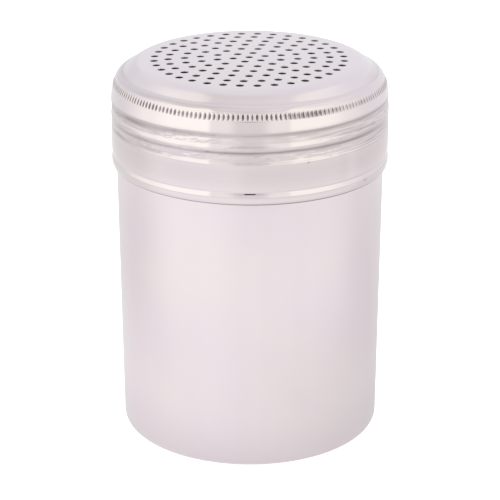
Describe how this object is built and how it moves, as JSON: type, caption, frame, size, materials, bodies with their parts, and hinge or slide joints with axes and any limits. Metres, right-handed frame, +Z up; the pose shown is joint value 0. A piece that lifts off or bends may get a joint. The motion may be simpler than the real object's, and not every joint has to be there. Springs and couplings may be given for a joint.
{
  "type": "screw-top shaker",
  "caption": "Cylindrical metal shaker: a drawn cup closed by a knurled screw ring with a rolled thread, which holds a domed perforated top for dusting dry seasoning.",
  "frame": {"origin": "centre of the flat base, in the plane the cup stands on", "axes": "+Z up along the axis of the cup and lid; the thread's groove lines are counted from the front, -Y"},
  "size_m": [0.0705, 0.0704, 0.0979],
  "materials": {
    "cup_steel": "satin stainless sheet, fine polish lines",
    "ring_steel": "polished stainless sheet with a rolled thread and a knurled edge",
    "top_steel": "satin stainless sheet, punched"
  },
  "bodies": {
    "cup": {"cup": "cup_steel"},
    "top": {"perforated_top": "top_steel"},
    "ring": {"screw_ring": "ring_steel"}
  },
  "joints": [
    {"name": "top_rise", "type": "slide", "parent": "cup", "child": "top", "axis": [0, 0, 1], "range_m": [0, 0.0252]},
    {"name": "ring_turn", "type": "hinge", "parent": "top", "child": "ring", "pos_m": [0, 0, 0.08], "axis": [0, 0, 1], "range_deg": [0, 2160]}
  ],
  "couplings": [
    {"joint": "top_rise", "follows": "ring_turn", "m_per_rad": 0.00066845}
  ]
}
